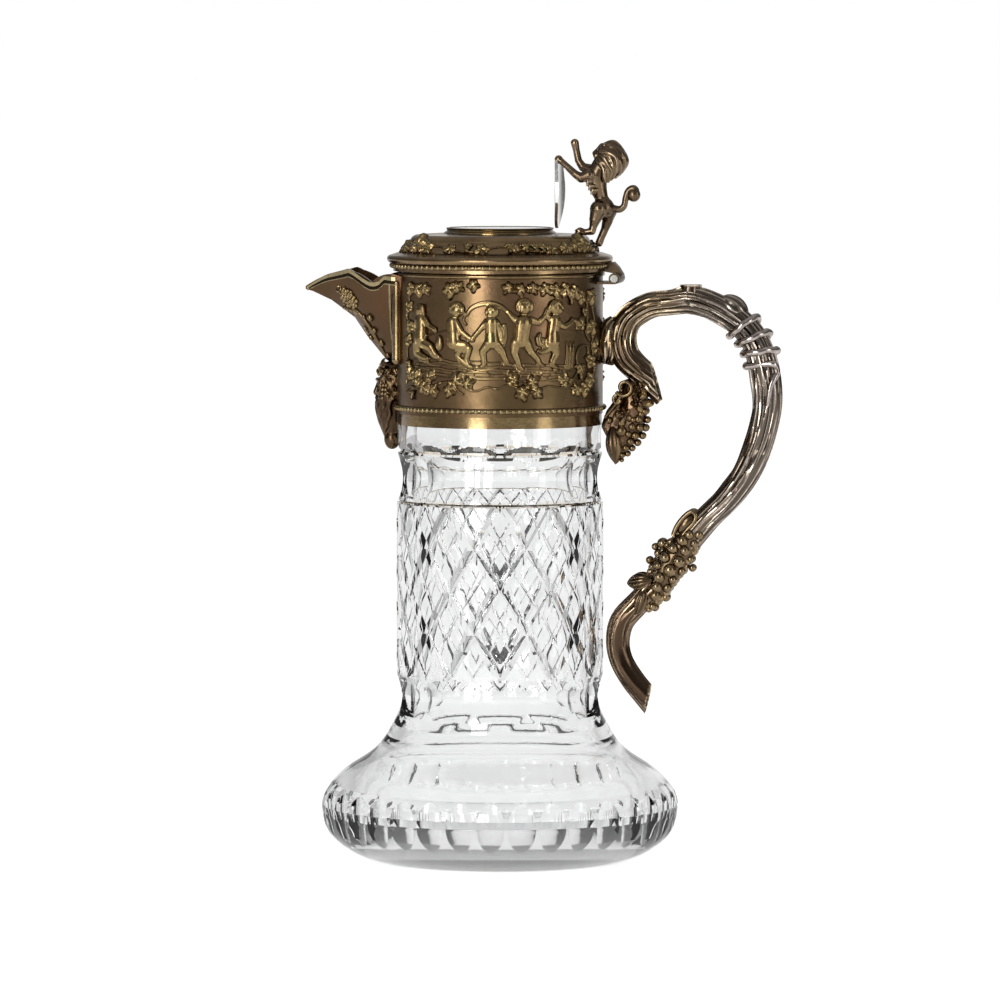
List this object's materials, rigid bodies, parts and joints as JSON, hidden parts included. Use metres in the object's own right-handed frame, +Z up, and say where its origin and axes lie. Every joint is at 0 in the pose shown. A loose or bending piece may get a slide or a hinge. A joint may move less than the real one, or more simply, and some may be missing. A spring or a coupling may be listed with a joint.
{
  "type": "claret jug",
  "caption": "Tall cut-glass claret jug with a spreading base, gilt metal collar, V beak spout, vine-branch handle and hinged domed lid with a lion thumbpiece.",
  "frame": {"origin": "middle of the foot, on the surface the jug stands on", "axes": "+Z up along the vessel's axis, spout towards -X, handle towards +X"},
  "size_m": [0.1921, 0.1428, 0.2901],
  "materials": {
    "cut_glass": "polished, hand cut",
    "gilt_metal": "worn gilding with dark patina in the hollows",
    "branch_gilt": "worn gilding, brown and silvery on the high places",
    "polished_silver": "bright polish",
    "plaster": "matt"
  },
  "bodies": {
    "jug": {"glass_body": "cut_glass", "neck_cement": "plaster", "rim_seal_ring": "gilt_metal", "collar_base_band": "gilt_metal", "collar_shell": "gilt_metal", "collar_bead_wire": "gilt_metal", "collar_rim_wire": "gilt_metal", "spout_beak": "gilt_metal", "spout_edge_moulding": "gilt_metal", "spout_root_mouldings": "gilt_metal", "spout_vine_castings": "gilt_metal", "spout_mask": "gilt_metal", "handle_branch": "branch_gilt", "handle_tendril": "branch_gilt", "handle_grapes": "branch_gilt", "handle_leaves": "branch_gilt", "handle_vine_spray": "gilt_metal", "hinge_fixed_leaf": "gilt_metal", "hinge_pin": "polished_silver"},
    "lid": {"hinge_lid_leaf": "gilt_metal", "lid_shell": "gilt_metal", "lid_bead_wire": "gilt_metal", "lid_locating_flange": "gilt_metal", "lid_boss_ring": "gilt_metal", "lid_plaque": "polished_silver", "lion_figure": "gilt_metal", "shield": "polished_silver"}
  },
  "joints": [
    {"name": "lid_hinge", "type": "hinge", "parent": "jug", "child": "lid", "pos_m": [0.047, 0, 0.233], "axis": [0, 1, 0], "range_deg": [0, 70]}
  ]
}
